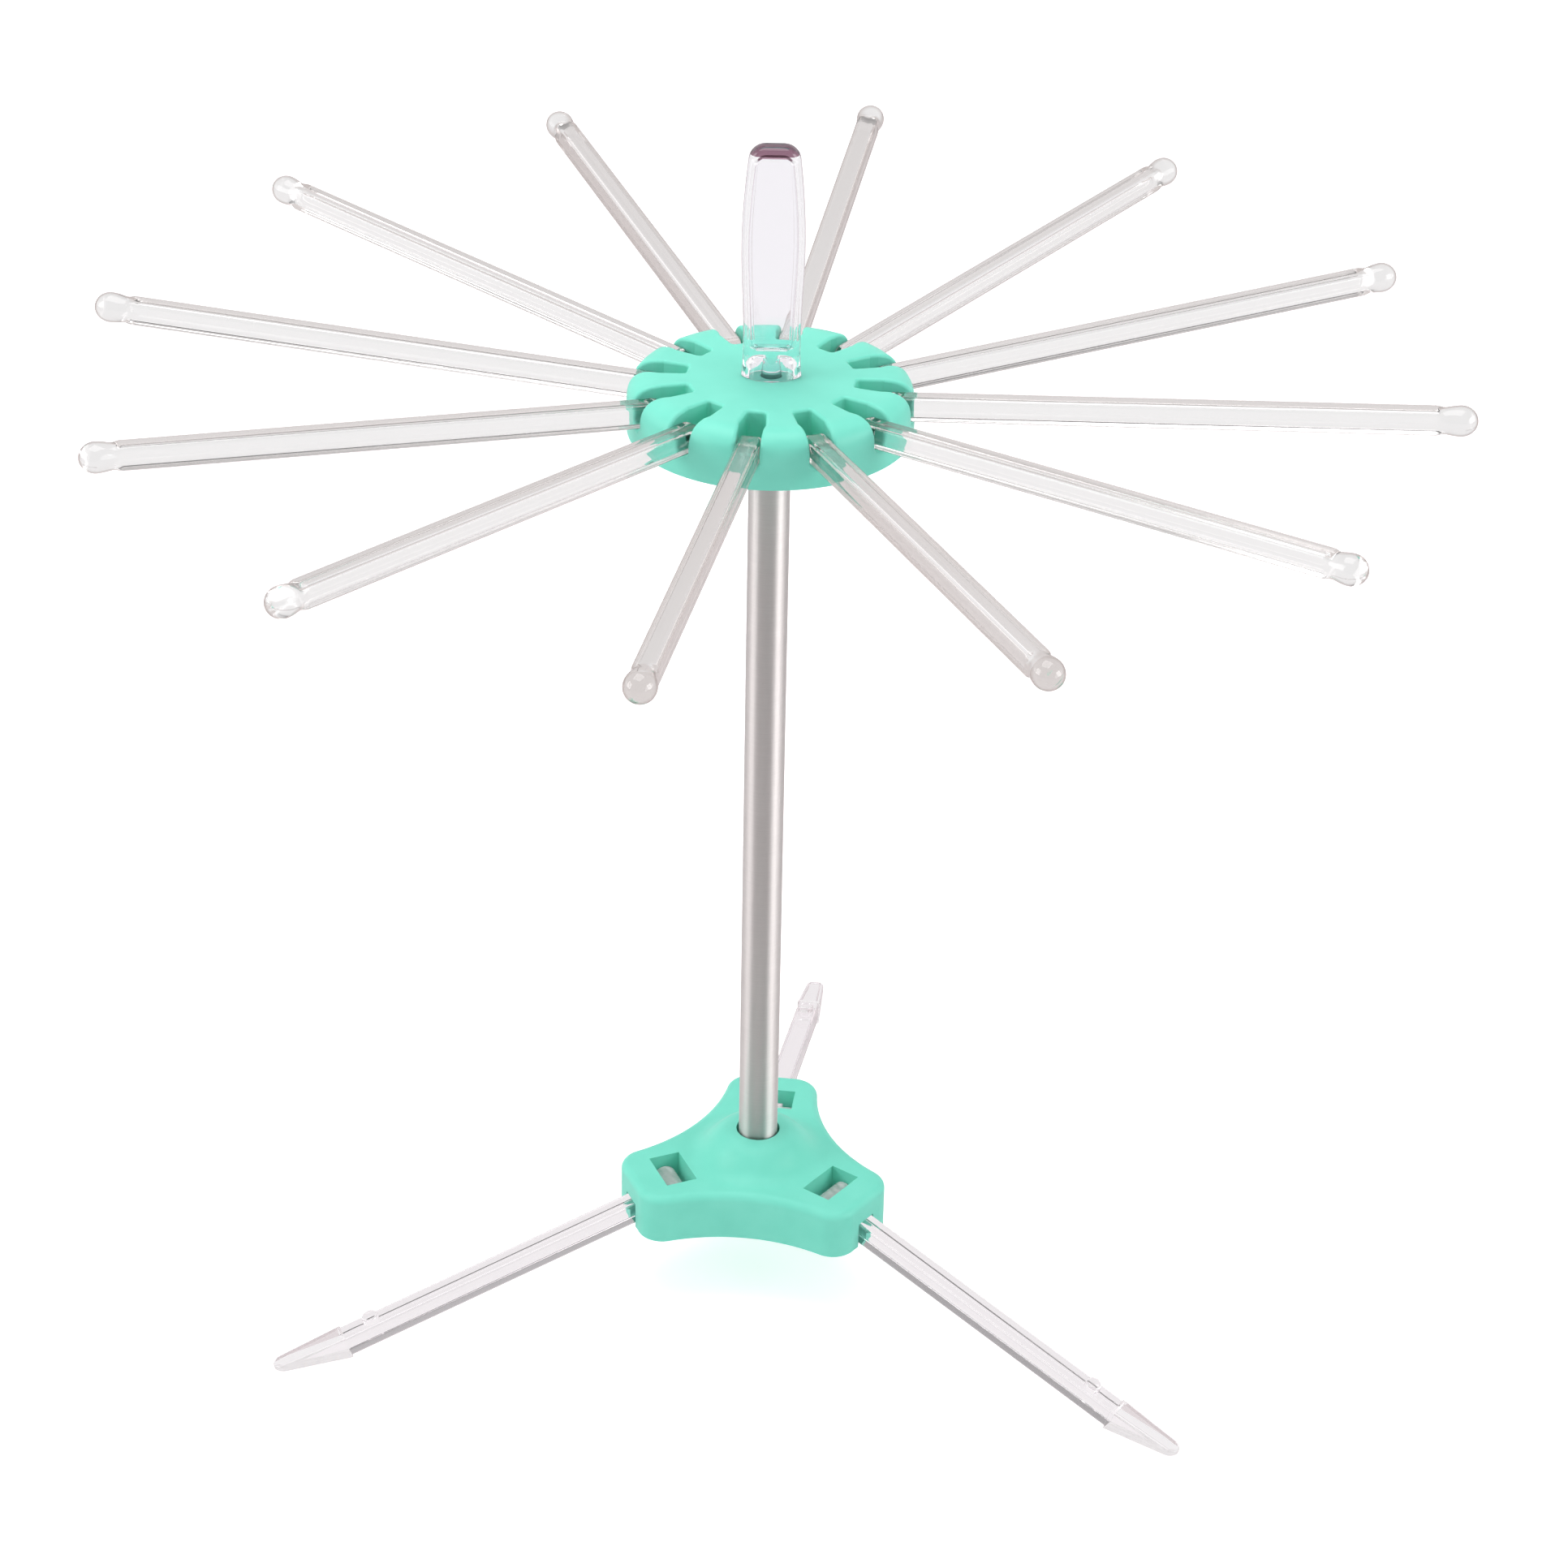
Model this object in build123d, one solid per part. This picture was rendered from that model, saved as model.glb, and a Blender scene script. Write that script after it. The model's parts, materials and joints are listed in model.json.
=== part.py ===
from build123d import *
import os
from math import cos, radians, sin

os.makedirs("parts", exist_ok=True)

# Pasta drying rack. A steel column stands on three clear legs that fold down
# from the base, and a round head on top carries twelve clear arms that fold up.
# A clear wand with a flat grip is kept inside the column and lifts out.
# Millimetres, +Z up. The origin is on the floor, under the column's axis.

# Counts and directions, in degrees
full_turn = 360
quarter_turn = 90
arm_count = 12
leg_count = 3
screw_count = 3
arm_step = full_turn / arm_count
leg_step = full_turn / leg_count
screw_step = full_turn / screw_count
first_arm_angle = -2.05
first_leg_angle = 90.0
wand_angle = 6.7
arm_rise = 3.73
leg_slope = 15.2

# Clearances
running_gap = 0.05
joint_gap = 0.1
rest_gap = 0.3
side_gap = 0.25
overrun = 2.0

# Legs: a square bar from a wide hinge barrel to a flat-soled foot
leg_width = 8.2
leg_height = 8.2
leg_edge_radius = 1.1
leg_heel_run = 129.5
foot_length = 27.0
foot_proud = 0.4
foot_tip_width = 6.6
foot_tip_radius = 3.2
heel_drop = 0.4
leg_nub_run = 118.6
leg_nub_diameter = 6.0
leg_nub_rise = 2.4
leg_nub_edge = 0.8
barrel_extra = 0.4
barrel_length = 17.4
leg_pin_diameter = 4.5
leg_pin_length = 2.9

# Base: a hollow three-lobed casing over the leg hinges, closed by a plate
base_wall = 2.4
base_hinge_radius = 33.5
lobe_run = 16.0
lobe_cheek = 4.6
lobe_corner = 9.0
waist_inset = 4.0
base_top_edge = 3.0
bridge_thickness = 4.2
window_inner_run = 6.0
window_outer_run = 5.5
hill_inset = 3.4
hill_rise = 9.7
hill_lip = 1.2
mouth_gap = 0.9
mouth_depth = 6.0
cover_thickness = 3.0
cover_drop = 1.8
screw_inset = 10.0
column_screw_room = 3.8
socket_floor = 3.0
socket_wall = 2.4

# Column
tube_diameter = 14.0
tube_wall = 0.8
tube_length = 314.2
plug_length = 16.0
bush_length = 14.0
bush_flange = 1.5

# Head: a domed cap with open pockets over a carrier plate
head_hinge_radius = 41.0
head_rim_run = 6.5
head_wall = 2.4
dome_run = 9.0
dome_lip = 3.0
arm_cover = 3.3
pocket_wall = 2.2
pocket_reach = 13.0
pocket_wide_run = 4.3
pocket_neck_run = 1.5
pocket_flare = 0.35
pocket_taper = 0.95
pocket_corner = 1.2
petal_edge = 1.1
trough_floor_run = 2.5
trough_floor = 2.2
trough_corner = 2.2
carrier_thickness = 2.4
carrier_inset = 2.0
carrier_boss_wall = 3.5
carrier_boss_height = 10.0
head_screw_radius = 40.0

# Arms: a slim bar from a rounded root to a ball tip
arm_length = 185.0
arm_width = 7.6
arm_height = 8.2
arm_edge_radius = 1.4
arm_pin_diameter = 4.0
arm_pin_length = 2.0
tip_diameter = 10.2
tip_flare_run = 8.0
tip_shoulder_run = 1.5
tip_nose_run = 3.9

# Wand: a round rod with a flat grip on an oval foot
rod_diameter = 5.6
rod_tip_gap = 32.4
rod_end_radius = 1.5
rod_gap = 0.08
cap_hole_gap = 0.3
grip_height = 80.2
grip_foot_width = 20.0
grip_foot_depth = 12.4
grip_foot_height = 9.5
grip_foot_step = 0.3
grip_waist_width = 18.8
grip_waist_height = 16.0
grip_wide_width = 20.8
grip_wide_height = 46.0
grip_top_width = 15.8
grip_top_corner = 4.5
grip_thickness = 7.2
grip_edge_radius = 1.6
panel_margin = 1.9
panel_depth = 0.35

# Screws
small_shank = 2.6
small_length = 9.0
small_head = 5.2
small_head_height = 1.6
boss_wall = 1.8
column_shank = 4.0
column_shank_length = 14.0
column_head = 8.0
column_head_height = 2.4
washer_diameter = 10.0
washer_thickness = 0.8
slot_width = 0.9
slot_depth = 0.8

# Heights, stacked up from the floor
leg_half = leg_height / 2
barrel_radius = leg_half + barrel_extra
leg_pivot_z = leg_heel_run * sin(radians(leg_slope)) + (leg_half + heel_drop) * cos(radians(leg_slope))
lobe_top_z = leg_pivot_z + barrel_radius + rest_gap + bridge_thickness
hill_top_z = lobe_top_z + hill_rise
cover_top_z = leg_pivot_z - barrel_radius - rest_gap - cover_drop
base_bottom_z = cover_top_z - cover_thickness
socket_floor_z = cover_top_z + column_screw_room
tube_bottom_z = socket_floor_z + socket_floor
tube_top_z = tube_bottom_z + tube_length
cap_roof_z = tube_top_z + bush_flange + rest_gap
cap_top_z = cap_roof_z + head_wall
arm_half = arm_height / 2
arm_pivot_z = cap_top_z - arm_cover - arm_half
trough_z = arm_pivot_z - arm_half - rest_gap
cap_foot_z = trough_z - trough_floor
carrier_top_z = cap_foot_z - rest_gap
carrier_bottom_z = carrier_top_z - carrier_thickness
skirt_bottom_z = carrier_bottom_z - carrier_inset
shoulder_z = trough_z + dome_lip
wand_foot_z = cap_top_z + joint_gap
rod_length = wand_foot_z - tube_bottom_z - plug_length - rod_tip_gap

# Radii and widths that fit one another
tube_radius = tube_diameter / 2
tube_bore_radius = tube_radius - tube_wall
rod_radius = rod_diameter / 2
rim_radius = head_hinge_radius + head_rim_run
lobe_radius = base_hinge_radius + lobe_run
base_waist_radius = base_hinge_radius - waist_inset
screw_circle_radius = base_waist_radius - screw_inset
hill_radius = base_waist_radius - hill_inset
window_half = barrel_length / 2 + side_gap
cheek_half = window_half + leg_pin_length + side_gap
lobe_half = cheek_half + lobe_cheek
window_inner_radius = base_hinge_radius - window_inner_run
leg_slot_half = leg_width / 2 + side_gap
foot_half = leg_width / 2 + foot_proud
leg_seat_radius = leg_pin_diameter / 2 + running_gap
arm_seat_radius = arm_pin_diameter / 2 + running_gap
trough_half = arm_width / 2 + side_gap
arm_cheek_half = trough_half + pocket_wall
boss_radius = small_shank / 2 + boss_wall
arm_angles = [first_arm_angle + k * arm_step for k in range(arm_count)]
leg_angles = [first_leg_angle + k * leg_step for k in range(leg_count)]
base_screw_angles = [first_leg_angle + leg_step / 2 + k * screw_step for k in range(screw_count)]
head_screw_angles = [first_arm_angle + arm_step / 2 + k * screw_step for k in range(screw_count)]


def block(x_from, x_to, half_width, z_from, z_to):
    """A box along +X, as wide to each side, between two heights."""
    size = Box(x_to - x_from, 2 * half_width, z_to - z_from)
    return Pos((x_from + x_to) / 2, 0, (z_from + z_to) / 2) * size


def rod(radius, z_from, z_to):
    """A round bar on the Z axis between two heights."""
    return Pos(0, 0, (z_from + z_to) / 2) * Cylinder(radius, z_to - z_from)


def cross_pin(radius, length):
    """A round bar along Y, centred on the origin."""
    return Rot(quarter_turn, 0, 0) * Cylinder(radius, length)


def spread(solid, angles):
    """Copies of a solid turned about the column's axis."""
    return [Rot(0, 0, angle) * solid for angle in angles]


def both_sides(solid):
    """A solid and its mirror image across the XZ plane."""
    return [solid, mirror(solid, Plane.XZ)]


def on_circle(solid, radius):
    """A solid moved out to a circle round the column."""
    return Pos(radius, 0, 0) * solid


def spun(points_or_edges):
    """A solid turned from a closed profile in the XZ plane."""
    return revolve(make_face(points_or_edges), Axis.Z)


# Screws, drawn head down with the underside of the head at height zero
def slotted_screw(shank_radius, shank_length, head_radius, head_height):
    """A screw with a straight slot across its head."""
    screw = rod(head_radius, -head_height, 0) + rod(shank_radius, 0, shank_length)
    slot = block(-head_radius, head_radius, slot_width / 2, -head_height, slot_depth - head_height)
    return screw - slot


def small_screw(height):
    """A casing screw whose head bears at a height."""
    screw = slotted_screw(small_shank / 2, small_length, small_head / 2, small_head_height)
    return Pos(0, 0, height) * screw


# Legs
def leg_bar():
    """The square bar, drawn along +X from the hinge axis."""
    section = Plane.YZ * RectangleRounded(leg_width, leg_height, leg_edge_radius)
    return extrude(section, leg_heel_run + overrun)


def leg_foot():
    """The foot, before the floor trims its sole flat."""
    tip = leg_heel_run + foot_length
    half, tip_half = foot_half, foot_tip_width / 2
    corners = [(leg_heel_run, -half), (tip, -tip_half), (tip, tip_half), (leg_heel_run, half)]
    plan = make_face(Polyline(*corners, close=True))
    plan = fillet(plan.vertices().group_by(Axis.X)[-1], foot_tip_radius)
    foot = Pos(0, 0, -foot_length) * extrude(plan, foot_length + leg_half + foot_proud)
    top_edges = foot.faces().sort_by(Axis.Z)[-1].edges()
    return fillet(top_edges, leg_edge_radius)


def leg_nub():
    """The round nub on top of the bar, near the foot."""
    nub = rod(leg_nub_diameter / 2, 0, leg_half + leg_nub_rise)
    nub = fillet(nub.faces().sort_by(Axis.Z)[-1].edges(), leg_nub_edge)
    return Pos(leg_nub_run, 0, 0) * nub


def make_leg():
    """One leg along +X in its standing pose, with its pins and hinge barrel."""
    hinge = cross_pin(barrel_radius, barrel_length)
    pins = cross_pin(leg_pin_diameter / 2, barrel_length + 2 * leg_pin_length)
    leg = leg_bar() + hinge + pins + leg_nub() + leg_foot()
    leg = Pos(base_hinge_radius, 0, leg_pivot_z) * Rot(0, leg_slope, 0) * leg
    reach = base_hinge_radius + leg_heel_run + foot_length + overrun
    return leg - block(0, reach, 2 * foot_half, -2 * foot_length, 0)


# Base
def lobed_outline(inset):
    """The three-lobed outline: straight lobe ends joined by hollow sides."""
    end, half, waist = lobe_radius - inset, lobe_half - inset, base_waist_radius - inset
    edges = []
    for angle in leg_angles:
        first = Vector(end, -half).rotate(Axis.Z, angle)
        second = Vector(end, half).rotate(Axis.Z, angle)
        middle = Vector(waist, 0).rotate(Axis.Z, angle + leg_step / 2)
        following = Vector(end, -half).rotate(Axis.Z, angle + leg_step)
        edges += [Line(first, second), ThreePointArc(second, middle, following)]
    outline = make_face(edges)
    return fillet(outline.vertices(), lobe_corner - inset)


def hill(radius, foot_z, rise):
    """The low rise, level at its foot and its top, that carries the column's mouth."""
    mouth = tube_radius + mouth_gap + hill_lip
    level = [(-1, 0, 0), (-1, 0, 0)]
    side = Spline((radius, 0, foot_z), (mouth, 0, foot_z + rise), tangents=level)
    rest = Polyline((mouth, 0, foot_z + rise), (0, 0, foot_z + rise), (0, 0, foot_z), (radius, 0, foot_z))
    return spun([side, rest])


def base_shell():
    """The open casing: lobes, dome and walls."""
    slab = Pos(0, 0, base_bottom_z) * extrude(lobed_outline(0), lobe_top_z - base_bottom_z)
    slab = fillet(slab.faces().sort_by(Axis.Z)[-1].edges(), base_top_edge)
    outside = slab + hill(hill_radius, lobe_top_z, hill_rise)
    room_top = lobe_top_z - base_wall
    room = Pos(0, 0, base_bottom_z) * extrude(lobed_outline(base_wall), room_top - base_bottom_z)
    inside = room + hill(hill_radius - base_wall, room_top, hill_rise)
    return outside, outside - inside


def hinge_block():
    """The solid lobe core that the leg's pins turn in."""
    start = window_inner_radius - base_wall
    return block(start, lobe_radius, cheek_half, cover_top_z + joint_gap, lobe_top_z - joint_gap)


def leg_room():
    """What is cut from a lobe: the window, the barrel's room and the leg's slot."""
    low, high = base_bottom_z - overrun, lobe_top_z + overrun
    window = block(window_inner_radius, base_hinge_radius + window_outer_run, window_half, low, high)
    barrel_end = base_hinge_radius + barrel_radius + rest_gap
    barrel_top = leg_pivot_z + barrel_radius + rest_gap
    barrel = block(window_inner_radius, barrel_end, window_half, low, barrel_top)
    slot = block(0, lobe_run + 2 * leg_height, leg_slot_half, -lobe_top_z, leg_half + rest_gap)
    slot = Pos(base_hinge_radius, 0, leg_pivot_z) * Rot(0, leg_slope, 0) * slot
    seat = block(-leg_seat_radius, leg_seat_radius, cheek_half, low - leg_pivot_z, 0)
    seat += cross_pin(leg_seat_radius, 2 * cheek_half)
    return [window, barrel, slot, Pos(base_hinge_radius, 0, leg_pivot_z) * seat]


def make_base_body():
    outside, shell = base_shell()
    socket_radius = tube_radius + running_gap + socket_wall
    socket = rod(socket_radius, socket_floor_z, hill_top_z)
    boss = on_circle(rod(boss_radius, cover_top_z + joint_gap, hill_top_z), screw_circle_radius)
    inner = spread(hinge_block(), leg_angles) + spread(boss, base_screw_angles) + [socket]
    inner = Part() + [piece & outside for piece in inner]
    body = shell + inner
    for cut in leg_room():
        body -= spread(cut, leg_angles)
    body -= rod(tube_radius + mouth_gap, hill_top_z - mouth_depth, hill_top_z + overrun)
    body -= rod(tube_radius + running_gap, tube_bottom_z, hill_top_z)
    body -= rod(column_shank / 2 + joint_gap, socket_floor_z - overrun, tube_bottom_z)
    pilot = rod(small_shank / 2 + running_gap, cover_top_z, cover_top_z + small_length)
    return body - spread(on_circle(pilot, screw_circle_radius), base_screw_angles)


def leg_saddle():
    """A post that closes one pin's seat from below."""
    half = leg_seat_radius - joint_gap
    near = window_half + joint_gap
    post = Box(2 * half, leg_pin_length, leg_pivot_z - cover_top_z)
    post = Pos(0, near + leg_pin_length / 2, (cover_top_z - leg_pivot_z) / 2) * post
    post -= cross_pin(leg_seat_radius, 2 * cheek_half)
    post -= block(-half, half, cheek_half, -joint_gap, joint_gap)
    return Pos(base_hinge_radius, 0, leg_pivot_z) * post


def make_base_cover():
    """The plate under the base, slotted for the folding legs."""
    plate = extrude(lobed_outline(base_wall + joint_gap), cover_thickness)
    cover = Pos(0, 0, base_bottom_z) * plate
    low, high = base_bottom_z - overrun, cover_top_z + overrun
    slot_start = base_hinge_radius - leg_half - rest_gap
    cover -= spread(block(slot_start, lobe_radius + overrun, leg_slot_half, low, high), leg_angles)
    hole = rod(small_shank / 2 + joint_gap, low, high)
    head_room = rod(small_head / 2 + joint_gap, low, base_bottom_z + small_head_height + joint_gap)
    cover -= spread(on_circle(hole + head_room, screw_circle_radius), base_screw_angles)
    saddles = [copy for side in both_sides(leg_saddle()) for copy in spread(side, leg_angles)]
    return cover + saddles


# Column
def make_tube():
    tube = rod(tube_radius, tube_bottom_z, tube_top_z)
    return tube - rod(tube_bore_radius, tube_bottom_z - overrun, tube_top_z + overrun)


def make_tube_plug():
    """The plug in the tube's lower end, which the column screw bites into."""
    plug = rod(tube_bore_radius - running_gap, tube_bottom_z, tube_bottom_z + plug_length)
    hole_top = tube_bottom_z + plug_length - overrun
    return plug - rod(column_shank / 2 + running_gap, tube_bottom_z - overrun, hole_top)


def make_tube_bush():
    """The flanged bush in the tube's upper end, which guides the rod."""
    bush = rod(tube_bore_radius - running_gap, tube_top_z - bush_length, tube_top_z)
    bush += rod(tube_radius, tube_top_z, tube_top_z + bush_flange)
    return bush - rod(rod_radius + rod_gap, tube_top_z - bush_length - overrun, cap_roof_z)


def make_column_washer():
    top = socket_floor_z
    washer = rod(washer_diameter / 2, top - washer_thickness, top)
    return washer - rod(column_shank / 2 + joint_gap, top - washer_thickness - overrun, top + overrun)


def make_column_screw():
    screw = slotted_screw(column_shank / 2, column_shank_length, column_head / 2, column_head_height)
    return Pos(0, 0, socket_floor_z - washer_thickness) * screw


# Head
def dome(radius, flat_radius, foot_z, bend_z, top_z):
    """A flat-topped round solid whose rim bends down into an upright skirt."""
    side = Line((radius, 0, foot_z), (radius, 0, bend_z))
    bend = Spline((radius, 0, bend_z), (flat_radius, 0, top_z), tangents=[(0, 0, 1), (-1, 0, 0)])
    rest = Polyline((flat_radius, 0, top_z), (0, 0, top_z), (0, 0, foot_z), (radius, 0, foot_z))
    return spun([side, bend, rest])


def pocket_outline(x_end, grow):
    """An arm pocket from above: narrow inside, widest before the hinge."""
    start = head_hinge_radius - pocket_reach - grow
    wide = head_hinge_radius - pocket_wide_run
    neck = head_hinge_radius - pocket_neck_run
    half = trough_half + grow
    side = [(start, half - pocket_taper), (wide, half + pocket_flare), (neck, half), (x_end, half)]
    other = [(x, -y) for x, y in reversed(side)]
    return make_face(Polyline(*side, *other, close=True))


def arm_trough():
    """The round-cornered trough that an open arm lies in."""
    start = head_hinge_radius + trough_floor_run
    trough = block(start - overrun, rim_radius + overrun, trough_half, trough_z, cap_top_z + overrun)
    return fillet(trough.edges().filter_by(Axis.X).group_by(Axis.Z)[0], trough_corner)


def arm_seat():
    """A slot for the arm's pins, open below and round at the top."""
    seat = block(-arm_seat_radius, arm_seat_radius, arm_cheek_half, cap_foot_z - overrun - arm_pivot_z, 0)
    seat += cross_pin(arm_seat_radius, 2 * arm_cheek_half)
    return Pos(head_hinge_radius, 0, arm_pivot_z) * seat


def is_skin(face):
    """True for the head's flat top, its bend and its skirt."""
    if face.geom_type == GeomType.CYLINDER:
        return face.radius > head_hinge_radius
    return face.geom_type == GeomType.REVOLUTION or face.center().Z > cap_top_z - running_gap


def petals():
    """The head's outside, cut for the arms, with the edges of the cuts rounded."""
    body = dome(rim_radius, rim_radius - dome_run, skirt_bottom_z, shoulder_z, cap_top_z)
    floor_end = head_hinge_radius + trough_floor_run
    pocket = extrude(pocket_outline(floor_end, 0), cap_top_z - cap_foot_z + 2 * overrun)
    pocket = fillet(pocket.edges().filter_by(Axis.Z).sort_by(Axis.X)[:2], pocket_corner)
    pocket = Pos(0, 0, cap_foot_z - overrun) * pocket
    for cut in [pocket, arm_trough()]:
        body -= spread(cut, arm_angles)
    edges = [edge for face in body.faces().filter_by(is_skin) for edge in face.edges()]
    rims = [edge for edge in edges if edges.count(edge) == 1]
    rims = [edge for edge in rims if edge.center().Z > skirt_bottom_z + running_gap]
    return fillet(rims, petal_edge)


def make_head_cap():
    inner_radius = rim_radius - head_wall
    hollow = dome(inner_radius, inner_radius - dome_run, skirt_bottom_z, shoulder_z, cap_roof_z)
    wall_end = inner_radius + overrun
    walls = extrude(pocket_outline(wall_end, pocket_wall), cap_top_z - cap_foot_z)
    boss = on_circle(rod(boss_radius, cap_foot_z, cap_top_z), head_screw_radius)
    hollow -= spread(Pos(0, 0, cap_foot_z) * walls, arm_angles)
    hollow -= spread(boss, head_screw_angles)
    cap = petals() - hollow
    cap -= spread(arm_seat(), arm_angles)
    cap -= rod(rod_radius + cap_hole_gap, cap_roof_z - overrun, cap_top_z + overrun)
    pilot = rod(small_shank / 2 + running_gap, cap_foot_z - overrun, cap_foot_z + small_length)
    return cap - spread(on_circle(pilot, head_screw_radius), head_screw_angles)


def arm_saddle():
    """A post that closes one arm pin's seat from below."""
    half = arm_seat_radius - joint_gap
    post = Box(2 * half, arm_pin_length, arm_pivot_z - carrier_top_z)
    near = trough_half + joint_gap
    post = Pos(0, near + arm_pin_length / 2, (carrier_top_z - arm_pivot_z) / 2) * post
    post -= cross_pin(arm_seat_radius, 2 * arm_cheek_half)
    post -= block(-half, half, arm_cheek_half, -joint_gap, joint_gap)
    return Pos(head_hinge_radius, 0, arm_pivot_z) * post


def make_head_carrier():
    """The plate inside the head that grips the tube and closes the pin seats."""
    carrier = rod(rim_radius - head_wall - joint_gap, carrier_bottom_z, carrier_top_z)
    carrier += rod(tube_radius + carrier_boss_wall, carrier_bottom_z, carrier_bottom_z + carrier_boss_height)
    carrier += [copy for side in both_sides(arm_saddle()) for copy in spread(side, arm_angles)]
    carrier -= rod(tube_radius + running_gap, carrier_bottom_z - overrun, cap_top_z)
    hole = rod(small_shank / 2 + joint_gap, carrier_bottom_z - overrun, carrier_top_z + overrun)
    return carrier - spread(on_circle(hole, head_screw_radius), head_screw_angles)


# Arms
def arm_bar():
    """The bar along +X, round at its root about the hinge axis."""
    end = arm_length - tip_shoulder_run
    root = ThreePointArc((0, 0, arm_half), (-arm_half, 0, 0), (0, 0, -arm_half))
    rest = Polyline((0, 0, -arm_half), (end, 0, -arm_half), (end, 0, arm_half), (0, 0, arm_half))
    bar = extrude(make_face([root, rest]), arm_width / 2, both=True)
    side_y = arm_width / 2 - running_gap
    outline = bar.edges().filter_by(lambda edge: abs(edge.center().Y) > side_y)
    outline = outline.sort_by(Axis.X)[:-2]
    return fillet(outline, arm_edge_radius)


def arm_tip():
    """The ball tip with its smooth flare."""
    radius = tip_diameter / 2
    shoulder = arm_length - tip_shoulder_run
    neck = shoulder - tip_flare_run
    flare = Spline((neck, 0, arm_half - joint_gap), (shoulder, 0, radius), tangents=[(1, 0, 0), (1, 0, 0)])
    far = arm_length + tip_nose_run
    nose = Spline((shoulder, 0, radius), (far, 0, 0), tangents=[(1, 0, 0), (0, 0, -1)])
    rest = Polyline((far, 0, 0), (neck, 0, 0), (neck, 0, arm_half - joint_gap))
    return revolve(make_face([flare, nose, rest]), Axis.X)


def make_arm():
    """One open arm along +X, with its pins."""
    pins = cross_pin(arm_pin_diameter / 2, arm_width + 2 * arm_pin_length)
    arm = arm_bar() + arm_tip() + pins
    return Pos(head_hinge_radius, 0, arm_pivot_z) * Rot(0, -arm_rise, 0) * arm


# Wand
def grip_outline(inset):
    """The grip from the front, from just inside its foot."""
    low = grip_foot_height - grip_foot_step + inset
    high = grip_height - inset
    waist, wide, top = grip_waist_width / 2 - inset, grip_wide_width / 2 - inset, grip_top_width / 2 - inset
    side = Spline((waist, low), (waist, grip_waist_height + inset), (wide, grip_wide_height), (top, high))
    other = mirror(side, Plane.YZ)
    outline = make_face([side, other, Line((-top, high), (top, high)), Line((-waist, low), (waist, low))])
    return fillet(outline.vertices().group_by(Axis.Y)[-1], grip_top_corner - inset)


def grip_blade():
    """The flat grip with a shallow panel on each face."""
    blade = extrude(grip_outline(0), grip_thickness / 2, both=True)
    face_z = grip_thickness / 2 - running_gap
    foot_top = grip_foot_height - grip_foot_step + running_gap
    rims = blade.edges().filter_by(lambda edge: abs(edge.center().Z) > face_z)
    rims = rims.filter_by(lambda edge: edge.center().Y > foot_top)
    blade = fillet(rims, grip_edge_radius)
    panel = extrude(grip_outline(panel_margin), panel_depth)
    for height in [grip_thickness / 2 - panel_depth, -grip_thickness / 2]:
        blade -= Pos(0, 0, height) * panel
    return Rot(quarter_turn, 0, 0) * blade


def grip_foot():
    """The oval foot that stands on the head."""
    low = Ellipse(grip_foot_width / 2, grip_foot_depth / 2)
    top_width, top_depth = grip_waist_width + grip_foot_step, grip_thickness + grip_foot_step
    high = RectangleRounded(top_width, top_depth, grip_edge_radius)
    return loft([low, Pos(0, 0, grip_foot_height) * high])


def make_wand():
    wand_rod = rod(rod_radius, -rod_length, grip_foot_height / 2)
    wand_rod = fillet(wand_rod.faces().sort_by(Axis.Z)[0].edges(), rod_end_radius)
    wand = grip_blade() + grip_foot() + wand_rod
    return Pos(0, 0, wand_foot_z) * Rot(0, 0, wand_angle) * wand


def all_pieces():
    """Every piece at its place, by name."""
    pieces = {
        "base_body": make_base_body(),
        "base_cover": make_base_cover(),
        "tube": make_tube(),
        "tube_plug": make_tube_plug(),
        "tube_bush": make_tube_bush(),
        "column_washer": make_column_washer(),
        "column_screw": make_column_screw(),
        "head_cap": make_head_cap(),
        "head_carrier": make_head_carrier(),
        "transfer_wand": make_wand(),
    }
    base_screw = on_circle(small_screw(base_bottom_z + small_head_height + joint_gap), screw_circle_radius)
    head_screw = on_circle(small_screw(carrier_bottom_z), head_screw_radius)
    for number, angle in enumerate(base_screw_angles, 1):
        pieces[f"base_screw_{number}"] = Rot(0, 0, angle) * base_screw
    for number, angle in enumerate(head_screw_angles, 1):
        pieces[f"head_screw_{number}"] = Rot(0, 0, angle) * head_screw
    leg, arm = make_leg(), make_arm()
    for number, angle in enumerate(leg_angles, 1):
        pieces[f"leg_{number}"] = Rot(0, 0, angle) * leg
    for number, angle in enumerate(arm_angles, 1):
        pieces[f"arm_{number:02d}"] = Rot(0, 0, angle) * arm
    return pieces


for name, piece in all_pieces().items():
    export_step(piece, f"parts/{name}.step")
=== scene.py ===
# %% [markdown]
# # A pasta drying rack
# A steel column stands on three clear legs, under a round mint head with
# twelve clear arms. A clear wand with a flat grip hangs in the column.
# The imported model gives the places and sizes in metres. The opaque pieces stay
# as they are packed and get a finish here: soft moulded mint plastic and
# brushed steel. The clear pieces are modelled anew, because clear plastic shows
# its inside as well as its outside.

# %% Load the frame
import json
from math import atan2, cos, pi, radians, sin

import bmesh
import bpy
from mathutils import Matrix, Vector


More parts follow.
